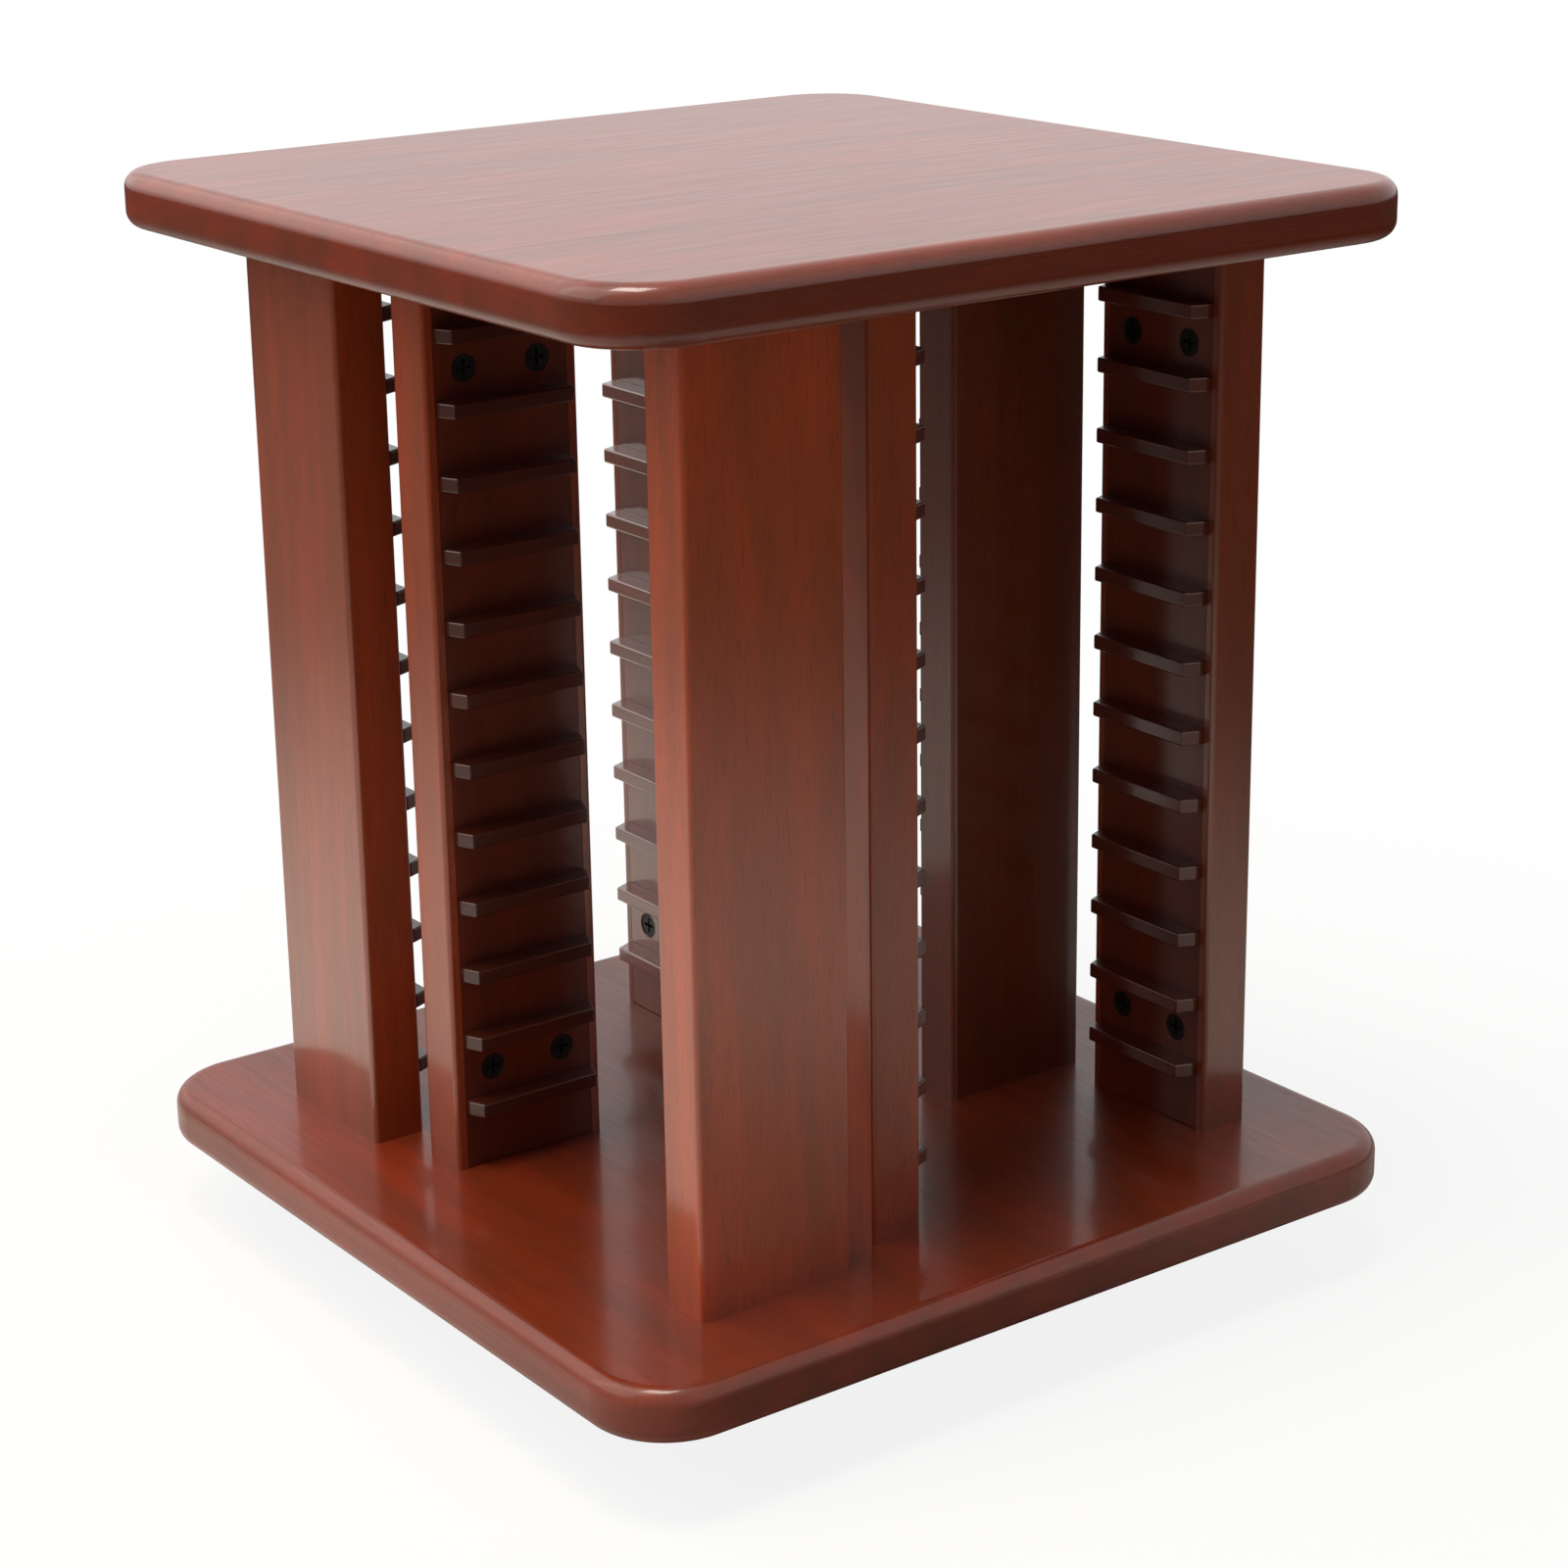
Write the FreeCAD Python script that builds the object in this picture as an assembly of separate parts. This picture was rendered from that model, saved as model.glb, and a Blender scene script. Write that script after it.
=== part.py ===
"""Rotating media tower: a wooden rack for boxed audio tapes that turns on a ball bearing.

Millimetres, +Z up. The origin is on the floor, on the axis that the tower turns about.
Four bays are set round the axis like a pinwheel, each open towards one side. A bay lies
between two posts whose facing sides carry a rack of slats, and a post of the next bay
closes part of its back.
"""
import FreeCAD, Part
import os
from math import cos, hypot, pi, sin

from FreeCAD import Vector

# Bays: room for tape boxes 109 mm wide, 70 mm deep and 17 mm thick
bay_width = 113.0
bay_depth = 68.5
back_stop_offset = 34.7

# Posts
post_width = 52.5
post_thickness = 17.5
post_edge_radius = 1.5

# Racks: a thin board let into the post, with slats glued into grooves across it
rack_board_thickness = 2.5
rack_lip = 3.5
rack_side_clearance = 0.15
rack_end_clearance = 0.25
slat_count = 12
slot_pitch = 21.8
first_slat_height = 20.5
top_slat_drop = 22.0
slat_height = 4.6
slat_reach = 7.0
slat_tongue = 1.0
slat_lead_in_depth = 5.0
slat_lead_in_length = 2.2
slat_edge_radius = 0.6
slat_fit_clearance = 0.05

# Panels
base_panel_overhang = 31.7
top_panel_overhang = 28.9
panel_thickness = 17.0
panel_corner_radius = 26.0
panel_edge_radius = 5.0

# Screws and dowels: radii, lengths and places
rack_screw_head_radius = 4.2
rack_screw_radius = 1.75
rack_screw_length = 12.0
rack_screw_sink = 0.3
rack_screw_spread = 12.5
base_screw_head_radius = 4.0
base_screw_radius = 2.0
base_screw_length = 42.0
base_screw_sink = 0.5
dowel_radius = 4.0
dowel_length = 28.0
dowel_in_panel = 12.0
dowel_end_room = 0.5
dowel_chamfer = 0.8
post_fastener_spread = 15.0
fastener_clearance = 0.1
screw_tip_length = 3.0
screw_tip_radius = 0.4
recess_arm_width = 0.9
recess_depth = 1.3
recess_share = 0.62
pan_head_round_share = 0.4

# Turntable
plate_side = 100.0
plate_thickness = 1.5
plate_corner_radius = 10.0
plate_hole_inset = 6.5
ball_radius = 2.5
ball_count = 16
ball_circle_radius = 35.0
ball_play = 0.05
lip_width = 1.0
lip_height = 1.4
lip_clearance = 0.3
cage_width = 9.0
cage_thickness = 1.2
cage_pocket_clearance = 0.15
rivet_radius = 6.0
rivet_bore_radius = 4.0
rivet_head_radius = 9.0
rivet_head_thickness = 1.2
rivet_play = 0.05
rivet_recess_radius = 12.0
rivet_recess_depth = 2.0
plate_screw_head_radius = 3.6
plate_screw_head_height = 2.1
plate_screw_radius = 2.0
plate_screw_length = 10.0

# Foot board and feet; the spacing is from the plate screws' circle out to the feet's
foot_board_rim = 19.0
foot_board_thickness = 12.0
foot_board_edge_radius = 3.0
driver_hole_radius = 7.0
foot_count = 4
foot_spacing = 14.5
foot_radius = 10.0
foot_height = 5.0
foot_edge_radius = 1.0
foot_counterbore_radius = 4.5
foot_counterbore_depth = 2.4
foot_screw_head_radius = 3.0
foot_screw_head_height = 1.6
foot_screw_radius = 1.5
foot_screw_length = 11.0

# Worked out from the sizes above
bay_mouth = back_stop_offset + bay_depth
outer_rack_face = bay_width + post_thickness - back_stop_offset
outer_post_face = outer_rack_face + post_thickness
inner_rack_face = back_stop_offset - post_thickness
post_middle = bay_mouth - post_width / 2
post_height = first_slat_height + (slat_count - 1) * slot_pitch + top_slat_drop
base_panel_side = 2 * (outer_post_face + base_panel_overhang)
top_panel_side = 2 * (outer_post_face + top_panel_overhang)
rack_groove_width = post_width - 2 * rack_lip
rack_board_width = rack_groove_width - 2 * rack_side_clearance
plate_gap = 2 * (ball_radius + ball_play)
plate_screw_offset = plate_side / 2 - plate_hole_inset
plate_screw_circle_radius = hypot(plate_screw_offset, plate_screw_offset)
foot_circle_radius = plate_screw_circle_radius + foot_spacing
foot_board_radius = foot_circle_radius + foot_board_rim

foot_board_bottom = foot_height
lower_plate_bottom = foot_board_bottom + foot_board_thickness
race_floor = lower_plate_bottom + plate_thickness
upper_plate_bottom = race_floor + plate_gap
base_bottom = upper_plate_bottom + plate_thickness
post_bottom = base_bottom + panel_thickness
top_bottom = post_bottom + post_height

SIDES = ("front", "right", "back", "left")
QUARTER_TURN = 90
HALF_TURN = 180
ORIGIN = Vector(0, 0, 0)
ACROSS = Vector(1, 0, 0)
UP = Vector(0, 0, 1)
OVERCUT = 1.0
LEVEL_TOLERANCE = 1e-6


def box(x_low, y_low, z_low, x_high, y_high, z_high):
    """A box between two corners."""
    return Part.makeBox(x_high - x_low, y_high - y_low, z_high - z_low, Vector(x_low, y_low, z_low))


def cylinder(radius, bottom, top, x=0.0, y=0.0):
    """An upright cylinder."""
    return Part.makeCylinder(radius, top - bottom, Vector(x, y, bottom))


def ring(outer_radius, inner_radius, bottom, top):
    """A flat ring about the tower's axis."""
    return cylinder(outer_radius, bottom, top).cut(cylinder(inner_radius, bottom, top))


def flat_edges(shape):
    """The edges that lie in a level plane."""
    return [edge for edge in shape.Edges if edge.BoundBox.ZLength < LEVEL_TOLERANCE]


def upright_edges(shape):
    """The edges of a block that run from its underside to its top."""
    return [edge for edge in shape.Edges if edge.BoundBox.ZLength > LEVEL_TOLERANCE]


def edges_at_height(shape, height):
    """The edges that lie wholly at one height."""
    return [edge for edge in flat_edges(shape) if abs(edge.BoundBox.ZMin - height) < LEVEL_TOLERANCE]


def around(count, radius, first_angle=0.0):
    """Points evenly spaced on a circle about the tower's axis."""
    step = 2 * pi / count
    angles = [first_angle + step * index for index in range(count)]
    return [(radius * cos(angle), radius * sin(angle)) for angle in angles]


def square_corners(offset):
    """The four corners of a square about the tower's axis."""
    return [(x, y) for x in (-offset, offset) for y in (-offset, offset)]


# Screws point along -Z with the top of the head at Z = 0 and are then turned and moved.

def cross_recess(head_radius):
    """The cutter of a cross recess in the top of a screw head."""
    arm = head_radius * recess_share
    half = recess_arm_width / 2
    return box(-arm, -half, -recess_depth, arm, half, 0).fuse(box(-half, -arm, -recess_depth, half, arm, 0))


def screw_shank(radius, top, length):
    """A shank with a pointed tip, from top down to -length."""
    tip = Part.makeCone(screw_tip_radius, radius, screw_tip_length, Vector(0, 0, -length))
    return tip.fuse(cylinder(radius, -length + screw_tip_length, top))


def countersunk_head(head_radius, shank_radius):
    """A 90 degree conical head."""
    depth = head_radius - shank_radius
    return Part.makeCone(shank_radius, head_radius, depth, Vector(0, 0, -depth))


def countersunk_screw(head_radius, shank_radius, length):
    """A wood screw whose conical head sits in a countersink."""
    neck = -(head_radius - shank_radius)
    body = countersunk_head(head_radius, shank_radius).fuse(screw_shank(shank_radius, neck, length))
    return body.cut(cross_recess(head_radius))


def countersunk_pocket(head_radius, shank_radius, length, sink):
    """The hole for a countersunk screw that is set below the surface by sink."""
    head = countersunk_head(head_radius + fastener_clearance, shank_radius + fastener_clearance)
    shank = cylinder(shank_radius + fastener_clearance, -length - fastener_clearance, 0)
    mouth = cylinder(head_radius + fastener_clearance, 0, sink)
    return head.fuse(shank).fuse(mouth)


def pan_head_screw(head_radius, head_height, shank_radius, length):
    """A wood screw with a raised round head; length counts from under the head."""
    head = cylinder(head_radius, -head_height, 0)
    head = head.makeFillet(pan_head_round_share * head_height, edges_at_height(head, 0))
    shank = screw_shank(shank_radius, 0, length)
    shank.translate(Vector(0, 0, -head_height))
    return head.fuse(shank).cut(cross_recess(head_radius))


def panel(side, bottom):
    """A square board with rounded corners and rounded edges."""
    half = side / 2
    board = box(-half, -half, bottom, half, half, bottom + panel_thickness)
    board = board.makeFillet(panel_corner_radius, upright_edges(board))
    rims = edges_at_height(board, bottom) + edges_at_height(board, bottom + panel_thickness)
    return board.makeFillet(panel_edge_radius, rims)


# A post and its rack are drawn in a frame of their own: X across the post's width from its
# middle, the rack face at Y = 0 with the post behind it, and Z up from the post's foot.

def slat_heights():
    """The middle of each slat above the post's foot."""
    return [first_slat_height + index * slot_pitch for index in range(slat_count)]


def rack_screw_places():
    """Where the rack screws go: two in the lowest gap and two in the highest."""
    low = first_slat_height + slot_pitch / 2
    high = post_height - top_slat_drop - slot_pitch / 2
    return [(x, z) for z in (low, high) for x in (-rack_screw_spread, rack_screw_spread)]


def post_fastener_places():
    """Where dowels and screws enter the ends of a post."""
    return [(x, -post_thickness / 2) for x in (-post_fastener_spread, post_fastener_spread)]


def facing_out(shape, x, y, z):
    """Turn a screw or pocket from pointing down to pointing into the rack face, and place it."""
    return shape.rotated(ORIGIN, ACROSS, -QUARTER_TURN).translated(Vector(x, y, z))


def rack_screw_pocket(x, z):
    """The hole of one rack screw, through the rack board and into the post."""
    head = rack_screw_head_radius
    pocket = countersunk_pocket(head, rack_screw_radius, rack_screw_length, rack_screw_sink)
    return facing_out(pocket, x, -rack_screw_sink, z)


def base_screw_pocket():
    """The hole of one base screw, upright, with the head's outer face at Z = 0."""
    head = base_screw_head_radius
    pocket = countersunk_pocket(head, base_screw_radius, base_screw_length, base_screw_sink)
    return pocket.rotated(ORIGIN, ACROSS, HALF_TURN)


def base_screw():
    """One base screw, upright, with the head's outer face at Z = 0."""
    screw = countersunk_screw(base_screw_head_radius, base_screw_radius, base_screw_length)
    return screw.rotated(ORIGIN, ACROSS, HALF_TURN)


def post():
    """A post with the groove for its rack board and the holes for its fasteners."""
    half = post_width / 2
    body = box(-half, -post_thickness, 0, half, 0, post_height)
    body = body.makeFillet(post_edge_radius, upright_edges(body))
    groove_half = rack_groove_width / 2
    body = body.cut(box(-groove_half, -rack_board_thickness, 0, groove_half, OVERCUT, post_height))
    hole_radius = dowel_radius + fastener_clearance
    hole_bottom = post_height - (dowel_length - dowel_in_panel) - dowel_end_room
    head_height = base_screw_sink - panel_thickness
    for x, y in post_fastener_places():
        body = body.cut(cylinder(hole_radius, hole_bottom, post_height, x, y))
        body = body.cut(base_screw_pocket().translated(Vector(x, y, head_height)))
    for x, z in rack_screw_places():
        body = body.cut(rack_screw_pocket(x, z))
    return body


def rack_board():
    """The thin board that is let into a post, with a groove across it for each slat."""
    half = rack_board_width / 2
    bottom = rack_end_clearance
    top = post_height - rack_end_clearance
    board = box(-half, -rack_board_thickness, bottom, half, 0, top)
    groove_half = slat_height / 2 + slat_fit_clearance
    for z in slat_heights():
        board = board.cut(box(-half, -slat_tongue, z - groove_half, half, OVERCUT, z + groove_half))
    for x, z in rack_screw_places():
        board = board.cut(rack_screw_pocket(x, z))
    return board


def slat():
    """One slat: a bar whose ends are cut back at a slant, so that a tape box slides in."""
    half = rack_board_width / 2
    nose_half = half - slat_lead_in_length
    shoulder = slat_reach - slat_lead_in_depth
    right = [(half, -slat_tongue), (half, shoulder), (nose_half, slat_reach)]
    left = [(-x, y) for x, y in reversed(right)]
    outline = [Vector(x, y, -slat_height / 2) for x, y in right + left]
    bar = Part.Face(Part.makePolygon(outline + outline[:1])).extrude(Vector(0, 0, slat_height))
    edges = [edge for edge in bar.Edges if edge.BoundBox.YMax > 0]
    return bar.makeFillet(slat_edge_radius, edges)


def rack_slats():
    """All the slats of one rack."""
    return [slat().translated(Vector(0, 0, z)) for z in slat_heights()]


def rack_screws():
    """The four screws that hold a rack board to its post."""
    screw = countersunk_screw(rack_screw_head_radius, rack_screw_radius, rack_screw_length)
    return [facing_out(screw, x, -rack_screw_sink, z) for x, z in rack_screw_places()]


def as_outer(shape):
    """Move a post, or something in a post's frame, to the front outer post."""
    return shape.translated(Vector(-post_middle, -outer_rack_face, post_bottom))


def as_inner(shape):
    """Move a post, or something in a post's frame, to the front inner post."""
    turned = shape.rotated(ORIGIN, UP, -QUARTER_TURN)
    return turned.translated(Vector(-inner_rack_face, -post_middle, post_bottom))


def turned_to(shape, side):
    """Turn a shape from the front of the tower to another side."""
    return shape.rotated(ORIGIN, UP, QUARTER_TURN * SIDES.index(side))


def post_ends():
    """The middles of all the dowels, and of the base screws below them, as x and y."""
    places = []
    for place in (as_outer, as_inner):
        for x, y in post_fastener_places():
            for side in SIDES:
                centre = turned_to(place(Part.Vertex(x, y, 0)), side)
                places.append((centre.Point.x, centre.Point.y))
    return places


def top_panel():
    """The top board, with blind holes for the dowels in its underside."""
    board = panel(top_panel_side, top_bottom)
    hole_top = top_bottom + dowel_in_panel + dowel_end_room
    for x, y in post_ends():
        board = board.cut(cylinder(dowel_radius + fastener_clearance, top_bottom, hole_top, x, y))
    return board


def base_panel():
    """The lower board, with the holes of its screws and a recess over the rivet."""
    board = panel(base_panel_side, base_bottom)
    for x, y in post_ends():
        board = board.cut(base_screw_pocket().translated(Vector(x, y, base_bottom + base_screw_sink)))
    board = board.cut(cylinder(rivet_recess_radius, base_bottom, base_bottom + rivet_recess_depth))
    for x, y in plate_screw_places():
        board = board.cut(plate_screw_hole(x, y, base_bottom, 1))
    return board


def top_dowels():
    """The dowels between the posts and the top board."""
    bottom = top_bottom + dowel_in_panel - dowel_length
    dowel = cylinder(dowel_radius, bottom, bottom + dowel_length)
    dowel = dowel.makeChamfer(dowel_chamfer, flat_edges(dowel))
    return [dowel.translated(Vector(x, y, 0)) for x, y in post_ends()]


def base_screws():
    """The screws that hold the posts to the base board."""
    height = base_bottom + base_screw_sink
    return [base_screw().translated(Vector(x, y, height)) for x, y in post_ends()]


def plate_screw_places():
    """Where the screws go through a turntable plate."""
    return square_corners(plate_screw_offset)


def plate_screw_hole(x, y, surface, direction):
    """The pilot hole of a turntable screw, into the board above (1) or below (-1)."""
    end = surface + direction * (plate_screw_length - plate_thickness + fastener_clearance)
    return cylinder(plate_screw_radius + fastener_clearance, min(surface, end), max(surface, end), x, y)


def turntable_plate(bottom, lip_bottom):
    """A square plate with a round race between two lips, and a hole for the rivet."""
    half = plate_side / 2
    plate = box(-half, -half, bottom, half, half, bottom + plate_thickness)
    plate = plate.makeFillet(plate_corner_radius, upright_edges(plate))
    outer_lip = ball_circle_radius + ball_radius + lip_clearance
    inner_lip = ball_circle_radius - ball_radius - lip_clearance
    for inner_radius in (outer_lip, inner_lip - lip_width):
        plate = plate.fuse(ring(inner_radius + lip_width, inner_radius, lip_bottom, lip_bottom + lip_height))
    plate = plate.cut(cylinder(rivet_radius + rivet_play, bottom, bottom + plate_thickness))
    for x, y in plate_screw_places():
        hole_radius = plate_screw_radius + fastener_clearance
        plate = plate.cut(cylinder(hole_radius, bottom, bottom + plate_thickness, x, y))
    return plate.removeSplitter()


def turntable_balls():
    """The bearing's balls."""
    height = race_floor + plate_gap / 2
    places = around(ball_count, ball_circle_radius)
    return [Part.makeSphere(ball_radius, Vector(x, y, height)) for x, y in places]


def turntable_ball_cage():
    """The ring that keeps the balls apart."""
    middle = race_floor + plate_gap / 2
    bottom = middle - cage_thickness / 2
    top = middle + cage_thickness / 2
    cage = ring(ball_circle_radius + cage_width / 2, ball_circle_radius - cage_width / 2, bottom, top)
    for x, y in around(ball_count, ball_circle_radius):
        cage = cage.cut(cylinder(ball_radius + cage_pocket_clearance, bottom, top, x, y))
    return cage


def turntable_rivet():
    """The hollow rivet that holds the two plates together, free to turn in the upper one."""
    upper_head = base_bottom + rivet_play
    rivet = cylinder(rivet_head_radius, lower_plate_bottom - rivet_head_thickness, lower_plate_bottom)
    rivet = rivet.fuse(cylinder(rivet_radius, lower_plate_bottom, upper_head))
    rivet = rivet.fuse(cylinder(rivet_head_radius, upper_head, upper_head + rivet_head_thickness))
    bore_bottom = lower_plate_bottom - rivet_head_thickness
    return rivet.cut(cylinder(rivet_bore_radius, bore_bottom, upper_head + rivet_head_thickness))


def turntable_screws(surface, direction):
    """The screws of one turntable plate; direction is 1 for screws that point up."""
    head = plate_screw_head_radius
    screw = pan_head_screw(head, plate_screw_head_height, plate_screw_radius, plate_screw_length)
    screw.translate(Vector(0, 0, plate_screw_head_height))
    if direction > 0:
        screw.rotate(ORIGIN, ACROSS, HALF_TURN)
    return [screw.translated(Vector(x, y, surface)) for x, y in plate_screw_places()]


def foot_screw_shape(clearance):
    """The shank of a foot screw, or the cutter of its hole when clearance isn't 0."""
    bottom = foot_counterbore_depth
    return cylinder(foot_screw_radius + clearance, bottom, bottom + foot_screw_length + clearance)


def foot_places():
    """The middles of the four feet."""
    return around(foot_count, foot_circle_radius, pi / foot_count)


def foot_board():
    """The round board that the tower turns on."""
    top = foot_board_bottom + foot_board_thickness
    board = cylinder(foot_board_radius, foot_board_bottom, top)
    rims = edges_at_height(board, foot_board_bottom) + edges_at_height(board, top)
    board = board.makeFillet(foot_board_edge_radius, rims)
    board = board.cut(cylinder(rivet_recess_radius, top - rivet_recess_depth, top))
    board = board.cut(cylinder(driver_hole_radius, foot_board_bottom, top, plate_screw_circle_radius, 0))
    for x, y in plate_screw_places():
        board = board.cut(plate_screw_hole(x, y, top, -1))
    for x, y in foot_places():
        board = board.cut(foot_screw_shape(fastener_clearance).translated(Vector(x, y, 0)))
    return board


def rubber_foot(x, y):
    """A round foot with a counterbore for its screw."""
    foot = cylinder(foot_radius, 0, foot_height)
    foot = foot.makeFillet(foot_edge_radius, edges_at_height(foot, 0))
    foot = foot.cut(cylinder(foot_counterbore_radius, 0, foot_counterbore_depth))
    return foot.cut(foot_screw_shape(fastener_clearance)).translated(Vector(x, y, 0))


def rubber_foot_screws():
    """The screws that hold the feet to the foot board."""
    head = foot_screw_head_radius
    screw = pan_head_screw(head, foot_screw_head_height, foot_screw_radius, foot_screw_length)
    screw.rotate(ORIGIN, ACROSS, HALF_TURN)
    screw.translate(Vector(0, 0, foot_counterbore_depth - foot_screw_head_height))
    return [screw.translated(Vector(x, y, 0)) for x, y in foot_places()]


def write(name, shape):
    """Write one node; a list becomes a group of separate solids."""
    if isinstance(shape, list):
        shape = Part.makeCompound(shape)
    shape.exportStep("parts/" + name + ".step")


def write_posts():
    """Write the eight posts with their racks."""
    body = post()
    board = rack_board()
    slats = rack_slats()
    screws = rack_screws()
    for ring_name, place in (("outer", as_outer), ("inner", as_inner)):
        for side in SIDES:
            write(f"{ring_name}_post_{side}", turned_to(place(body), side))
            write(f"{ring_name}_rack_board_{side}", turned_to(place(board), side))
            write(f"{ring_name}_rack_slats_{side}", [turned_to(place(one), side) for one in slats])
            write(f"{ring_name}_rack_screws_{side}", [turned_to(place(one), side) for one in screws])


def write_turntable():
    """Write the bearing and its screws."""
    write("turntable_lower_plate", turntable_plate(lower_plate_bottom, race_floor))
    write("turntable_upper_plate", turntable_plate(upper_plate_bottom, upper_plate_bottom - lip_height))
    write("turntable_balls", turntable_balls())
    write("turntable_ball_cage", turntable_ball_cage())
    write("turntable_rivet", turntable_rivet())
    write("turntable_lower_screws", turntable_screws(race_floor, -1))
    write("turntable_upper_screws", turntable_screws(upper_plate_bottom, 1))


def write_stand():
    """Write the foot board and its feet."""
    write("foot_board", foot_board())
    for index, (x, y) in enumerate(foot_places()):
        write(f"rubber_foot_{index + 1}", rubber_foot(x, y))
    write("rubber_foot_screws", rubber_foot_screws())


os.makedirs("parts", exist_ok=True)
write("top_panel", top_panel())
write("base_panel", base_panel())
write("top_dowels", top_dowels())
write("base_screws", base_screws())
write_posts()
write_turntable()
write_stand()
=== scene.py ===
"""Finishes, stage and camera for a rotating media tower, laid out as an add-on and run as a script."""

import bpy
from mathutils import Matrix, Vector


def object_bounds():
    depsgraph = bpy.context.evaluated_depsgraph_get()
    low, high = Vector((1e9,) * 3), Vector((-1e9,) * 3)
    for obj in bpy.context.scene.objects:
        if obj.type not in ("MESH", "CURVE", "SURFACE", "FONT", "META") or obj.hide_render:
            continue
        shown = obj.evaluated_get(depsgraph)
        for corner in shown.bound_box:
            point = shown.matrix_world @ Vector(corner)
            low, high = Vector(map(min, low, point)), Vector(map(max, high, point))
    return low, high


bl_info = {
    "name": "Rotating Media Tower",
    "version": (1, 0, 0),
    "blender": (4, 5, 0),
    "location": "3D View > Sidebar > Media Tower",
    "description": "Stained wood, metal and rubber finishes with a pale studio for a rotating media tower",
    "category": "Object",
}

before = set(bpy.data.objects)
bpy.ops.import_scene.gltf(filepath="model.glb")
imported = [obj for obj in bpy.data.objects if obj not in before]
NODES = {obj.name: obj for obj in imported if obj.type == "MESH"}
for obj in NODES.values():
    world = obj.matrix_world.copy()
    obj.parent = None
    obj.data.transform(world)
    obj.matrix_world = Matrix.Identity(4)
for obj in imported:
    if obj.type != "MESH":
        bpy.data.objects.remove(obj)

from math import cos, pi, radians, sin

import bmesh
import bpy
from bpy.props import FloatProperty, FloatVectorProperty, PointerProperty
from mathutils import Matrix, Vector

CAD_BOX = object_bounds()
SIDES = ("front", "right", "back", "left")
RINGS = ("outer", "inner")
MM = 0.001

# The sockets of a Mix node that is set to colours
MIX_FACTOR, MIX_FIRST, MIX_SECOND, MIX_RESULT = 0, 6, 7, 2
# A Wave texture in ring mode repeats every pi / 10 of its own units
WAVE_PERIOD = pi / 10
# How far the growth rings stray, and how far their centre lies from the tower's
RING_WANDER = 14 * MM
PITH_OFFSET = (23 * MM, -11 * MM, 90 * MM)
# Size across and along the grain of the rings' wander and of the lacquer's ripple
WANDER_SIZE = (60 * MM, 220 * MM)
RIPPLE_SIZE = (3 * MM, 12 * MM)
# How many times as wide and as long as a pore a fibre is
FIBRE_IN_PORES = (1.6, 6)
# What light streaks and dark ones make of the stain's red, green and blue
LIGHT_STREAK = (1.25, 1.12, 1.12)
DARK_STREAK = (0.70, 0.84, 0.88)
# How dark the stain is in a pore, and how strongly rings, fibres and pores show
PORE_TONE = 0.45
RING_SHARE, FIBRE_SHARE, PORE_SHARE = 0.25, 0.28, 0.4
# Between which values of a noise streaks, fibres, pores and gloss go from least to most
STREAK_RANGE = (0.32, 0.68)
FIBRE_RANGE = (0.42, 0.72)
PORE_RANGE = (0.63, 0.76)
GLOSS_RANGE = (0.3, 0.7)
# Roughness of the wood under its lacquer, and the depth of its grain and of the lacquer's ripple
WOOD_ROUGHNESS = (0.34, 0.48)
WOOD_RELIEF = 0.1 * MM
# How dark and how light the grit of a plain finish makes its colour, and how deep it is
DARK_GRIT, LIGHT_GRIT = 0.8, 1.15
GRIT_RELIEF = 0.05 * MM

# The light painted into the paper's colour round the tower: its middle, where it fades, and the level
# beyond
PAINTED_POOL_CENTRE = (0.0, -0.05, 0.0)
PAINTED_POOL_FADE = (0.38, 1.00)
PAINTED_POOL_BEYOND = 0.22
# Where painted shade darkens the paper's colour along X, and the level there
PAINTED_SHADE_SIDE_FADE = (0.20, 0.60)
PAINTED_SHADE_SIDE_LEVEL = 0.25
# The shadow painted into the paper's colour under the base's front edge: its middle, where it fades, and
# its level
PAINTED_SHADOW_CENTRE = (-0.03, -0.21, 0.0)
PAINTED_SHADOW_FADE = (0.04, 0.26)
PAINTED_SHADOW_LEVEL = 0.3
# Where the paper that the camera sees turns plain white, and how white it is near the axis
WHITE_FADE = (0.15, 0.60)
WHITE_NEAR_AXIS = 0.87
# The lit wall: its azimuth and elevation in degrees, how narrow it is, between which heights of
# the direction it goes from its lower to its upper level, and the level of the dark studio
WALL_DIRECTION = (57, 20)
WALL_NARROWNESS = 7.0
WALL_RISE = (0.05, 0.20)
WALL_LEVELS = (0.67, 0.96)
STUDIO_LEVEL = 0.005
# The softboxes: name, azimuth and elevation in degrees, width in metres, and level
SOFTBOXES = (
    ("left_softbox", 162, 42, 1.5, 1.65),
    ("left_back_softbox", 115, 35, 1.4, 0.65),
    ("overhead_softbox", 203, 77, 0.6, 2.5),
    ("front_softbox", 285, 25, 1.4, 0.20),
)
# The width of the camera's sensor in millimetres
SENSOR_WIDTH = 36.0


def linear(hex_code):
    """An sRGB hex colour as linear red, green and blue."""
    parts = [int(hex_code[at:at + 2], 16) / 255 for at in (1, 3, 5)]
    return tuple(
        part / 12.92 if part <= 0.04045 else ((part + 0.055) / 1.055) ** 2.4 for part in parts)


def opaque(colour):
    """A colour with full alpha, as sockets take it."""
    return (*colour, 1.0)


def tinted(colour, shares):
    """A colour with its red, green and blue each multiplied by a share of its own."""
    return [min(1.0, share * part) for share, part in zip(shares, colour)]


def toned(colour, tone):
    """A colour made lighter or darker, as one board takes the stain more than the next."""
    return tinted(colour, (tone,) * 3)


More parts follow.
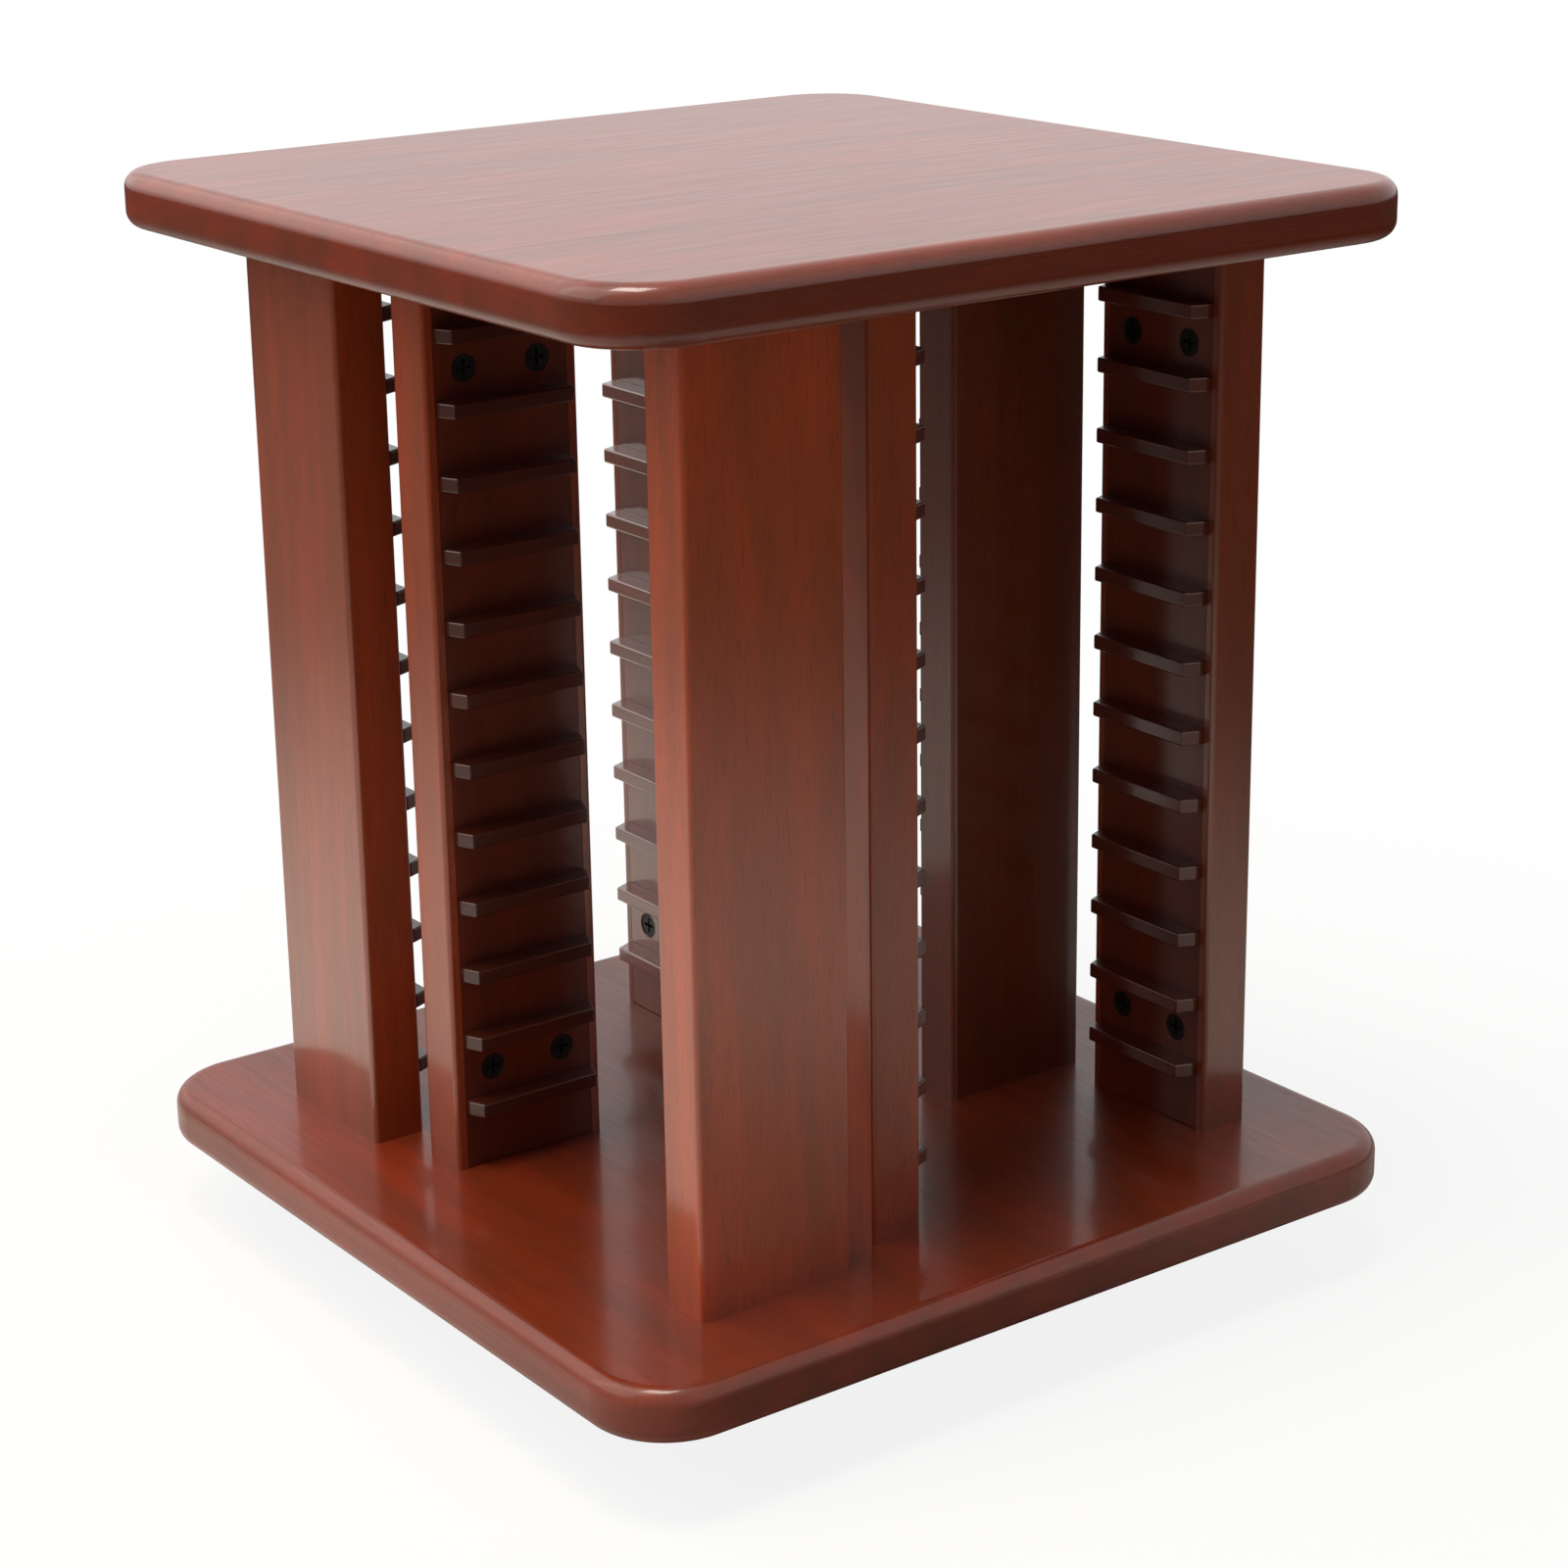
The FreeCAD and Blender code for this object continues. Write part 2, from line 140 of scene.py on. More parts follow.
def add_node(tree, kind, settings=None, inputs=None):
    """Add a node, set its properties, and set or link its inputs."""
    node = tree.nodes.new(kind)
    for name, value in (settings or {}).items():
        setattr(node, name, value)
    for name, value in (inputs or {}).items():
        if isinstance(value, bpy.types.NodeSocket):
            tree.links.new(value, node.inputs[name])
        else:
            node.inputs[name].default_value = value
    return node


def new_material(name):
    """An empty material and its node tree."""
    material = bpy.data.materials.new(name)
    material.use_nodes = True
    material.node_tree.nodes.clear()
    return material, material.node_tree


def finish_material(tree, shader):
    """Link a shader to the material's output."""
    add_node(tree, "ShaderNodeOutputMaterial", inputs={"Surface": shader.outputs[0]})


def coat_nodes(names, material):
    """Give CAD nodes one material in place of their own."""
    for name in names:
        slots = NODES[name].data.materials
        slots.clear()
        slots.append(material)


def grain_scale(axis, across, along):
    """One over the size of a pattern in X, Y and Z, with its long side along the grain."""
    return tuple(1 / along if name == axis else 1 / across for name in "XYZ")


class TowerWoodSettings(bpy.types.PropertyGroup):
    """Colours and grain sizes of the wooden pieces."""
    panel_stain: FloatVectorProperty(
        name="Panel stain", description="Colour of the stained panels",
        subtype="COLOR", min=0, max=1, default=linear("#8C3315"))
    post_stain: FloatVectorProperty(
        name="Post stain", description="Colour of the stained posts",
        subtype="COLOR", min=0, max=1, default=linear("#9A3E17"))
    rack_stain: FloatVectorProperty(
        name="Rack stain", description="Colour of the stained rack boards and slats",
        subtype="COLOR", min=0, max=1, default=linear("#6A260F"))
    dowel_wood: FloatVectorProperty(
        name="Dowel", description="Colour of the bare dowels",
        subtype="COLOR", min=0, max=1, default=linear("#C9A476"))
    streak_width: FloatProperty(
        name="Streak width", description="Width of the broad light and dark streaks",
        unit="LENGTH", subtype="DISTANCE", min=0.001, default=17 * MM)
    streak_length: FloatProperty(
        name="Streak length", description="Length of the broad light and dark streaks",
        unit="LENGTH", subtype="DISTANCE", min=0.01, default=110 * MM)
    ring_spacing: FloatProperty(
        name="Ring spacing", description="Distance between growth rings",
        unit="LENGTH", subtype="DISTANCE", min=0.001, default=6 * MM)
    pore_width: FloatProperty(
        name="Pore width",
        description="Width of the open pores, drawn about twice their real size so they show",
        unit="LENGTH", subtype="DISTANCE", min=0.0001, default=0.5 * MM)
    pore_length: FloatProperty(
        name="Pore length", description="Length of the open pores",
        unit="LENGTH", subtype="DISTANCE", min=0.001, default=6 * MM)
    lacquer_roughness: FloatProperty(
        name="Lacquer roughness", description="How much the lacquer blurs what it reflects",
        min=0, max=1, default=0.13)


class TowerHardwareSettings(bpy.types.PropertyGroup):
    """Colours of the metal, plastic and rubber pieces."""
    black_oxide: FloatVectorProperty(
        name="Rack screws", description="Colour of the blackened rack screws",
        subtype="COLOR", min=0, max=1, default=linear("#1A1A1B"))
    zinc: FloatVectorProperty(
        name="Zinc", description="Colour of the zinc plated steel",
        subtype="COLOR", min=0, max=1, default=linear("#C4C6C8"))
    ball_steel: FloatVectorProperty(
        name="Balls", description="Colour of the polished balls",
        subtype="COLOR", min=0, max=1, default=linear("#D4D6D8"))
    nylon: FloatVectorProperty(
        name="Ball cage", description="Colour of the nylon ball cage",
        subtype="COLOR", min=0, max=1, default=linear("#E6E1D2"))
    rubber: FloatVectorProperty(
        name="Feet", description="Colour of the rubber feet",
        subtype="COLOR", min=0, max=1, default=linear("#262626"))


class TowerStageSettings(bpy.types.PropertyGroup):
    """Sizes of the studio and the place of the camera."""
    floor_colour: FloatVectorProperty(
        name="Floor", description="Colour of the floor sheet",
        subtype="COLOR", min=0, max=1, default=linear("#F5F5F4"))
    floor_radius: FloatProperty(
        name="Floor radius", description="Radius of the round floor sheet",
        unit="LENGTH", subtype="DISTANCE", min=0.5, default=9.0)
    light_colour: FloatVectorProperty(
        name="Light", description="Colour of the lamps and of the lit wall, a little warm",
        subtype="COLOR", min=0, max=1, default=linear("#FFF8ED"))
    softbox_distance: FloatProperty(
        name="Softbox distance", description="Distance from the softboxes to the middle of the tower",
        unit="LENGTH", subtype="DISTANCE", min=0.5, default=1.6)
    camera_place: FloatVectorProperty(
        name="Camera place", description="Where the camera stands",
        unit="LENGTH", subtype="TRANSLATION", default=(-0.604, -0.844, 0.492))
    camera_heading: FloatProperty(
        name="Camera heading", description="Direction of view, from +Y towards +X",
        unit="ROTATION", subtype="ANGLE", default=radians(36.40))
    camera_drop: FloatProperty(
        name="Camera drop", description="How far the camera looks below the horizon",
        unit="ROTATION", subtype="ANGLE", default=radians(17.25))
    camera_roll: FloatProperty(
        name="Camera roll", description="How far the camera is turned about its own axis",
        unit="ROTATION", subtype="ANGLE", default=radians(-0.77))
    camera_lens: FloatProperty(
        name="Camera lens", description="Focal length on a 36 mm sensor",
        unit="CAMERA", min=10, default=80.4)
    camera_shift: FloatVectorProperty(
        name="Camera shift", description="How far the lens is shifted, as a share of the picture's width",
        size=2, default=(-0.0125, -0.0375))


def stained_wood(name, stain, axis, lacquer, lacquer_ior=1.6):
    """Stained wood with its grain along one axis, under more or less lacquer."""
    wood = bpy.context.scene.tower_wood
    material, tree = new_material(name)
    place = add_node(tree, "ShaderNodeTexCoord").outputs["Object"]

    # Broad streaks: the stain takes lighter and darker along the board
    streak_place = add_node(tree, "ShaderNodeMapping", inputs={
        "Vector": place, "Scale": grain_scale(axis, wood.streak_width, wood.streak_length)})
    streaks = add_node(tree, "ShaderNodeTexNoise", inputs={
        "Vector": streak_place.outputs[0], "Scale": 1.0, "Detail": 4.0, "Roughness": 0.6})

    # Fibres: soft lines a little wider than a pore and several times as long
    fibre_place = add_node(tree, "ShaderNodeMapping", inputs={
        "Vector": place, "Scale": grain_scale(
            axis, FIBRE_IN_PORES[0] * wood.pore_width, FIBRE_IN_PORES[1] * wood.pore_length)})
    fibres = add_node(tree, "ShaderNodeTexNoise", inputs={
        "Vector": fibre_place.outputs[0], "Scale": 1.0, "Detail": 2.0, "Roughness": 0.6})

    # Growth rings about a pith beside the tower, wandering a little along the grain
    wander_place = add_node(tree, "ShaderNodeMapping", inputs={
        "Vector": place, "Scale": grain_scale(axis, *WANDER_SIZE)})
    wander = add_node(tree, "ShaderNodeTexNoise", inputs={
        "Vector": wander_place.outputs[0], "Scale": 1.0, "Detail": 2.0})
    ring_place = add_node(tree, "ShaderNodeVectorMath", {"operation": "MULTIPLY_ADD"}, {
        0: wander.outputs["Color"], 1: (RING_WANDER,) * 3, 2: place})
    ring_centre = add_node(tree, "ShaderNodeMapping", inputs={
        "Vector": ring_place.outputs[0], "Location": PITH_OFFSET})
    rings = add_node(tree, "ShaderNodeTexWave", {
        "wave_type": "RINGS", "rings_direction": axis, "wave_profile": "SIN"}, {
        "Vector": ring_centre.outputs[0], "Scale": WAVE_PERIOD / wood.ring_spacing,
        "Distortion": 0.6, "Detail": 2.0, "Detail Scale": 1.5})

    # Pores: short dark dashes
    pore_place = add_node(tree, "ShaderNodeMapping", inputs={
        "Vector": place, "Scale": grain_scale(axis, wood.pore_width, wood.pore_length)})
    pore_noise = add_node(tree, "ShaderNodeTexNoise", inputs={
        "Vector": pore_place.outputs[0], "Scale": 1.0, "Detail": 0.0})
    pores = add_node(tree, "ShaderNodeMapRange", inputs={
        "Value": pore_noise.outputs[0], "From Min": PORE_RANGE[0], "From Max": PORE_RANGE[1],
        "To Min": 0.0, "To Max": 1.0})

    # The stain over all of these, from the broadest pattern to the finest
    light = opaque(tinted(stain, LIGHT_STREAK))
    dark = opaque(tinted(stain, DARK_STREAK))
    streak_share = add_node(tree, "ShaderNodeMapRange", inputs={
        "Value": streaks.outputs[0], "From Min": STREAK_RANGE[0], "From Max": STREAK_RANGE[1],
        "To Min": 0.0, "To Max": 1.0})
    streaked = add_node(tree, "ShaderNodeMix", {"data_type": "RGBA"}, {
        MIX_FACTOR: streak_share.outputs[0], MIX_FIRST: dark, MIX_SECOND: light})
    ring_share = add_node(tree, "ShaderNodeMath", {"operation": "MULTIPLY"}, {
        0: rings.outputs["Fac"], 1: RING_SHARE})
    ringed = add_node(tree, "ShaderNodeMix", {"data_type": "RGBA"}, {
        MIX_FACTOR: ring_share.outputs[0], MIX_FIRST: streaked.outputs[MIX_RESULT],
        MIX_SECOND: dark})
    fibre_share = add_node(tree, "ShaderNodeMapRange", inputs={
        "Value": fibres.outputs[0], "From Min": FIBRE_RANGE[0], "From Max": FIBRE_RANGE[1],
        "To Min": 0.0, "To Max": FIBRE_SHARE})
    fibred = add_node(tree, "ShaderNodeMix", {"data_type": "RGBA"}, {
        MIX_FACTOR: fibre_share.outputs[0], MIX_FIRST: ringed.outputs[MIX_RESULT],
        MIX_SECOND: dark})
    pore_share = add_node(tree, "ShaderNodeMath", {"operation": "MULTIPLY"}, {
        0: pores.outputs[0], 1: PORE_SHARE})
    pored = add_node(tree, "ShaderNodeMix", {"data_type": "RGBA"}, {
        MIX_FACTOR: pore_share.outputs[0], MIX_FIRST: fibred.outputs[MIX_RESULT],
        MIX_SECOND: opaque(toned(stain, PORE_TONE))})

    roughness = add_node(tree, "ShaderNodeMapRange", inputs={
        "Value": fibres.outputs[0], "From Min": GLOSS_RANGE[0], "From Max": GLOSS_RANGE[1],
        "To Min": WOOD_ROUGHNESS[0], "To Max": WOOD_ROUGHNESS[1]})
    grain_bump = add_node(tree, "ShaderNodeBump", {"invert": True}, {
        "Strength": 0.25, "Distance": WOOD_RELIEF, "Height": pores.outputs[0]})

    # The lacquer levels the grain but keeps a faint ripple of its own
    ripple_place = add_node(tree, "ShaderNodeMapping", inputs={
        "Vector": place, "Scale": grain_scale(axis, *RIPPLE_SIZE)})
    ripple = add_node(tree, "ShaderNodeTexNoise", inputs={
        "Vector": ripple_place.outputs[0], "Scale": 1.0, "Detail": 2.0})
    lacquer_bump = add_node(tree, "ShaderNodeBump", inputs={
        "Strength": 0.06, "Distance": WOOD_RELIEF, "Height": ripple.outputs[0]})

    shader = add_node(tree, "ShaderNodeBsdfPrincipled", inputs={
        "Base Color": pored.outputs[MIX_RESULT], "Roughness": roughness.outputs[0],
        "Normal": grain_bump.outputs[0], "Specular IOR Level": 0.25,
        "Coat Weight": lacquer, "Coat Roughness": wood.lacquer_roughness, "Coat IOR": lacquer_ior,
        "Coat Normal": lacquer_bump.outputs[0]})
    finish_material(tree, shader)
    return material


def plain_finish(name, colour, metallic, roughness, spread, grit, bump):
    """A finish of one colour whose gloss and surface vary at the size of its grit."""
    material, tree = new_material(name)
    place = add_node(tree, "ShaderNodeTexCoord").outputs["Object"]
    noise = add_node(tree, "ShaderNodeTexNoise", inputs={
        "Vector": place, "Scale": 1 / grit, "Detail": 3.0})
    shade = add_node(tree, "ShaderNodeMix", {"data_type": "RGBA"}, {
        MIX_FACTOR: noise.outputs[0], MIX_FIRST: opaque(toned(colour, DARK_GRIT)),
        MIX_SECOND: opaque(toned(colour, LIGHT_GRIT))})
    gloss = add_node(tree, "ShaderNodeMapRange", inputs={
        "Value": noise.outputs[0], "From Min": GLOSS_RANGE[0], "From Max": GLOSS_RANGE[1],
        "To Min": roughness - spread, "To Max": roughness + spread})
    relief = add_node(tree, "ShaderNodeBump", inputs={
        "Strength": bump, "Distance": GRIT_RELIEF, "Height": noise.outputs[0]})
    shader = add_node(tree, "ShaderNodeBsdfPrincipled", inputs={
        "Base Color": shade.outputs[MIX_RESULT], "Metallic": metallic,
        "Roughness": gloss.outputs[0], "Normal": relief.outputs[0]})
    finish_material(tree, shader)
    return material


class MEDIA_TOWER_OT_panels(bpy.types.Operator):
    """Finish the top panel, the base panel and the foot board"""
    bl_idname = "media_tower.panels"
    bl_label = "Finish Panels"

    def execute(self, context):
        stain = context.scene.tower_wood.panel_stain
        # Mahogany, stained and lacquered: red-brown and glossy, with its grain from front to back in
        # the base and the foot board, and from side to side in the top
        coat_nodes(("base_panel", "foot_board"), stained_wood(
            "mahogany_stained_lacquered_base", toned(stain, 0.80), "Y",
            lacquer=0.47, lacquer_ior=1.5))
        coat_nodes(("top_panel",), stained_wood(
            "mahogany_stained_lacquered_top", toned(stain, 0.75), "X",
            lacquer=0.60, lacquer_ior=1.5))
        return {"FINISHED"}


class MEDIA_TOWER_OT_posts(bpy.types.Operator):
    """Finish the eight posts"""
    bl_idname = "media_tower.posts"
    bl_label = "Finish Posts"

    def execute(self, context):
        stain = context.scene.tower_wood.post_stain
        # Mahogany, stained and lacquered: red-brown and glossy, with upright grain. Each row has a tone,
        # a lacquer and the lacquer's IOR; the tones are painted light and shade, lighter on the front and
        # inner left posts and darker on the right, back and inner right posts
        for name, tone, lacquer, lacquer_ior, posts in (
                ("lightest", 1.45, 0.95, 1.6, ("outer_post_front",)),
                ("light", 1.15, 0.85, 1.6, ("inner_post_left",)),
                ("glossy", 1.0, 1.0, 1.8, ("outer_post_left",)),
                ("middle", 1.05, 0.6, 1.6, ("inner_post_front",)),
                ("deep", 0.75, 1.0, 1.6,
                 ("outer_post_right", "outer_post_back", "inner_post_back")),
                ("dark", 0.5, 0.6, 1.6, ("inner_post_right",))):
            coat_nodes(posts, stained_wood(
                f"mahogany_stained_lacquered_post_{name}", toned(stain, tone), "Z",
                lacquer, lacquer_ior))
        return {"FINISHED"}


class MEDIA_TOWER_OT_racks(bpy.types.Operator):
    """Finish the rack boards and their slats"""
    bl_idname = "media_tower.racks"
    bl_label = "Finish Racks"

    def execute(self, context):
        stain = context.scene.tower_wood.rack_stain
        # Mahogany, stained dark and lacquered thinly: deep brown with little gloss
        coat_nodes([f"{ring}_rack_board_{side}" for ring in RINGS for side in SIDES], stained_wood(
            "mahogany_stained_lacquered_rack_board", stain, "Z", lacquer=0.4))
        # The grain follows the slats: the outer ones of the front and back and the inner ones of
        # the right and left run along X, and the others along Y
        for axis, rings, tone in (("X", RINGS, 0.45), ("Y", RINGS[::-1], 0.65)):
            slats = [f"{rings[0]}_rack_slats_{side}" for side in SIDES[::2]]
            slats += [f"{rings[1]}_rack_slats_{side}" for side in SIDES[1::2]]
            coat_nodes(slats, stained_wood(
                f"mahogany_stained_lacquered_slat_{axis}", toned(stain, tone), axis, lacquer=0.6))
        # The back's inner rack took a full coat in place of the thin one and mirrors what lies below it
        # as a grey sheen; its stain is also painted paler, a painted sheen on top of the mirrored one
        pale = toned(stain, 1.4)
        coat_nodes(("inner_rack_board_back",), stained_wood(
            "mahogany_stained_lacquered_rack_board_glossy", pale, "Z",
            lacquer=1.0, lacquer_ior=1.9))
        coat_nodes(("inner_rack_slats_back",), stained_wood(
            "mahogany_stained_lacquered_slat_glossy", pale, "Y", lacquer=1.0, lacquer_ior=1.9))
        return {"FINISHED"}


class MEDIA_TOWER_OT_fasteners(bpy.types.Operator):
    """Finish the screws and dowels"""
    bl_idname = "media_tower.fasteners"
    bl_label = "Finish Fasteners"

    def execute(self, context):
        hardware = context.scene.tower_hardware
        # Steel, black oxide: nearly black with a dull oily gloss
        coat_nodes([f"{ring}_rack_screws_{side}" for ring in RINGS for side in SIDES], plain_finish(
            "steel_black_oxide", hardware.black_oxide, metallic=0.6, roughness=0.38, spread=0.08,
            grit=0.4 * MM, bump=0.3))
        # Steel, zinc plated: pale bluish grey with a soft mirror
        coat_nodes(
            ("base_screws", "rubber_foot_screws", "turntable_lower_screws", "turntable_upper_screws"),
            plain_finish("steel_zinc_plated_screw", hardware.zinc, metallic=1.0, roughness=0.28,
                         spread=0.08, grit=0.5 * MM, bump=0.2))
        # Beech, turned and left bare: pale and dull
        coat_nodes(("top_dowels",), plain_finish(
            "beech_turned", context.scene.tower_wood.dowel_wood, metallic=0.0, roughness=0.6,
            spread=0.1, grit=1.5 * MM, bump=0.4))
        return {"FINISHED"}


class MEDIA_TOWER_OT_turntable(bpy.types.Operator):
    """Finish the turntable's plates, balls, cage and rivet"""
    bl_idname = "media_tower.turntable"
    bl_label = "Finish Turntable"

    def execute(self, context):
        hardware = context.scene.tower_hardware
        # Steel sheet, pressed and zinc plated: pale grey, softly blurred mirror
        coat_nodes(
            ("turntable_lower_plate", "turntable_upper_plate", "turntable_rivet"),
            plain_finish("steel_pressed_zinc_plated", hardware.zinc, metallic=1.0, roughness=0.32,
                         spread=0.1, grit=2 * MM, bump=0.25))
        # Steel, ground and polished: a clear mirror
        coat_nodes(("turntable_balls",), plain_finish(
            "steel_ball_polished", hardware.ball_steel, metallic=1.0, roughness=0.08, spread=0.03,
            grit=1 * MM, bump=0.05))
        # Nylon, moulded: off-white and waxy
        coat_nodes(("turntable_ball_cage",), plain_finish(
            "nylon_moulded", hardware.nylon, metallic=0.0, roughness=0.45, spread=0.06,
            grit=1 * MM, bump=0.2))
        return {"FINISHED"}


class MEDIA_TOWER_OT_feet(bpy.types.Operator):
    """Finish the four rubber feet"""
    bl_idname = "media_tower.feet"
    bl_label = "Finish Feet"

    def execute(self, context):
        # Rubber, moulded: dark grey and dull with a fine spark texture
        coat_nodes([f"rubber_foot_{number}" for number in range(1, 5)], plain_finish(
            "rubber_moulded", context.scene.tower_hardware.rubber, metallic=0.0, roughness=0.75,
            spread=0.08, grit=0.6 * MM, bump=0.5))
        return {"FINISHED"}


def direction_at(azimuth, elevation):
    """A unit vector from degrees round from +X and degrees above the floor."""
    return Vector((cos(radians(azimuth)) * cos(radians(elevation)),
                   sin(radians(azimuth)) * cos(radians(elevation)), sin(radians(elevation))))


def add_softbox(name, azimuth, elevation, width, level):
    """A square area lamp aimed at the tower's middle; a level of pi shows white as white."""
    stage = bpy.context.scene.tower_stage
    lamp = bpy.data.lights.new(name, "AREA")
    lamp.shape = "SQUARE"
    lamp.size = width
    lamp.color = stage.light_colour
    lamp.energy = level * pi * stage.softbox_distance ** 2
    softbox = bpy.data.objects.new(name, lamp)
    low, high = CAD_BOX
    direction = direction_at(azimuth, elevation)
    softbox.location = (low + high) / 2 + stage.softbox_distance * direction
    softbox.rotation_euler = (-direction).to_track_quat("-Z", "Y").to_euler()
    bpy.context.scene.collection.objects.link(softbox)


def share_of_rays(tree, kinds):
    """A socket that is 1 for rays of any of these kinds and 0 for the others."""
    path = add_node(tree, "ShaderNodeLightPath")
    share = path.outputs[kinds[0]]
    for kind in kinds[1:]:
        either = add_node(tree, "ShaderNodeMath", {"operation": "MAXIMUM"}, {
            0: share, 1: path.outputs[kind]})
        share = either.outputs[0]
    return share


def floor_sheet_material():
    """Paper, matt: even and without gloss, seen white, with painted light round the tower and painted grey
    shade further out in the colour that mirrors and bounced light meet.
    """
    stage = bpy.context.scene.tower_stage
    material, tree = new_material("paper_matt_white")
    place = add_node(tree, "ShaderNodeTexCoord").outputs["Object"]
    parts = add_node(tree, "ShaderNodeSeparateXYZ", inputs={0: place})
    # Mirrors and bounced light meet the paper with light and shade painted in: painted darker further out
    # and to the right
    from_painted_pool = add_node(tree, "ShaderNodeVectorMath", {"operation": "DISTANCE"}, {
        0: place, 1: PAINTED_POOL_CENTRE})
    painted_pool_falloff = add_node(tree, "ShaderNodeMapRange", {"interpolation_type": "SMOOTHSTEP"}, {
        "Value": from_painted_pool.outputs["Value"], "From Min": PAINTED_POOL_FADE[0], "From Max": PAINTED_POOL_FADE[1],
        "To Min": 1.0, "To Max": PAINTED_POOL_BEYOND})
    painted_shade_rightward = add_node(tree, "ShaderNodeMapRange", {"interpolation_type": "SMOOTHSTEP"}, {
        "Value": parts.outputs["X"], "From Min": PAINTED_SHADE_SIDE_FADE[0], "From Max": PAINTED_SHADE_SIDE_FADE[1],
        "To Min": 1.0, "To Max": PAINTED_SHADE_SIDE_LEVEL})
    # A painted shadow darkens the paper's colour under the base's front edge
    from_painted_shadow = add_node(tree, "ShaderNodeVectorMath", {"operation": "DISTANCE"}, {
        0: place, 1: PAINTED_SHADOW_CENTRE})
    painted_shadow_under_base = add_node(tree, "ShaderNodeMapRange", {"interpolation_type": "SMOOTHSTEP"}, {
        "Value": from_painted_shadow.outputs["Value"], "From Min": PAINTED_SHADOW_FADE[0], "From Max": PAINTED_SHADOW_FADE[1],
        "To Min": PAINTED_SHADOW_LEVEL, "To Max": 1.0})
    painted_light_and_side_shade = add_node(tree, "ShaderNodeMath", {"operation": "MULTIPLY"}, {
        0: painted_pool_falloff.outputs[0], 1: painted_shade_rightward.outputs[0]})
    level = add_node(tree, "ShaderNodeMath", {"operation": "MULTIPLY"}, {
        0: painted_light_and_side_shade.outputs[0], 1: painted_shadow_under_base.outputs[0]})
    # The paper's colour with the painted light, painted side shade and painted shadow in it
    shade = add_node(tree, "ShaderNodeMix", {"data_type": "RGBA"}, {
        MIX_FACTOR: level.outputs[0], MIX_FIRST: (0, 0, 0, 1),
        MIX_SECOND: opaque(stage.floor_colour)})
    paper = add_node(tree, "ShaderNodeBsdfDiffuse", inputs={"Color": shade.outputs[MIX_RESULT]})
    # The camera sees evenly white paper that keeps a soft shadow round the tower
    seen_paper = add_node(tree, "ShaderNodeBsdfDiffuse", inputs={
        "Color": opaque(stage.floor_colour)})
    glow = add_node(tree, "ShaderNodeEmission", inputs={"Color": (1, 1, 1, 1), "Strength": 1.0})
    from_axis = add_node(tree, "ShaderNodeVectorMath", {"operation": "LENGTH"}, {0: place})
    glow_share = add_node(tree, "ShaderNodeMapRange", {"interpolation_type": "SMOOTHSTEP"}, {
        "Value": from_axis.outputs["Value"], "From Min": WHITE_FADE[0], "From Max": WHITE_FADE[1],
        "To Min": WHITE_NEAR_AXIS, "To Max": 1.0})
    seen = add_node(tree, "ShaderNodeMixShader", inputs={
        0: glow_share.outputs[0], 1: seen_paper.outputs[0], 2: glow.outputs[0]})
    both = add_node(tree, "ShaderNodeMixShader", inputs={
        0: share_of_rays(tree, ("Is Camera Ray", "Is Transmission Ray")),
        1: paper.outputs[0], 2: seen.outputs[0]})
    finish_material(tree, both)
    return material


def add_floor():
    """A round sheet under the feet."""
    stage = bpy.context.scene.tower_stage
    mesh = bpy.data.meshes.new("studio_floor")
    disc = bmesh.new()
    bmesh.ops.create_circle(disc, cap_ends=True, segments=96, radius=stage.floor_radius)
    disc.to_mesh(mesh)
    disc.free()
    floor = bpy.data.objects.new("studio_floor", mesh)
    mesh.materials.append(floor_sheet_material())
    bpy.context.scene.collection.objects.link(floor)


def light_world():
    """White where it is seen, and as a light a dark studio with one lit wall behind the tower."""
    stage = bpy.context.scene.tower_stage
    world = bpy.data.worlds.new("studio")
    bpy.context.scene.world = world
    world.use_nodes = True
    tree = world.node_tree
    tree.nodes.clear()
    direction = add_node(tree, "ShaderNodeTexCoord").outputs["Generated"]
    towards = add_node(tree, "ShaderNodeVectorMath", {"operation": "DOT_PRODUCT"}, {
        0: direction, 1: direction_at(*WALL_DIRECTION)})
    facing = add_node(tree, "ShaderNodeMath", {"operation": "MAXIMUM"}, {
        0: towards.outputs["Value"], 1: 0.0})
    wall = add_node(tree, "ShaderNodeMath", {"operation": "POWER"}, {
        0: facing.outputs[0], 1: WALL_NARROWNESS})
    # The wall darkens a little towards the floor
    parts = add_node(tree, "ShaderNodeSeparateXYZ", inputs={0: direction})
    upward = add_node(tree, "ShaderNodeMapRange", {"interpolation_type": "SMOOTHSTEP"}, {
        "Value": parts.outputs["Z"], "From Min": WALL_RISE[0], "From Max": WALL_RISE[1],
        "To Min": WALL_LEVELS[0], "To Max": WALL_LEVELS[1]})
    lit_wall = add_node(tree, "ShaderNodeMath", {"operation": "MULTIPLY"}, {
        0: wall.outputs[0], 1: upward.outputs[0]})
    level = add_node(tree, "ShaderNodeMath", {"operation": "ADD"}, {
        0: lit_wall.outputs[0], 1: STUDIO_LEVEL})
    studio = add_node(tree, "ShaderNodeBackground", inputs={
        "Color": opaque(stage.light_colour), "Strength": level.outputs[0]})
    # The camera, mirrors and whatever is see-through meet a white backdrop
    backdrop = add_node(tree, "ShaderNodeBackground", inputs={
        "Color": (1, 1, 1, 1), "Strength": 1.0})
    both = add_node(tree, "ShaderNodeMixShader", inputs={
        0: share_of_rays(tree, ("Is Camera Ray", "Is Transmission Ray", "Is Glossy Ray")),
        1: studio.outputs[0], 2: backdrop.outputs[0]})
    add_node(tree, "ShaderNodeOutputWorld", inputs={"Surface": both.outputs[0]})


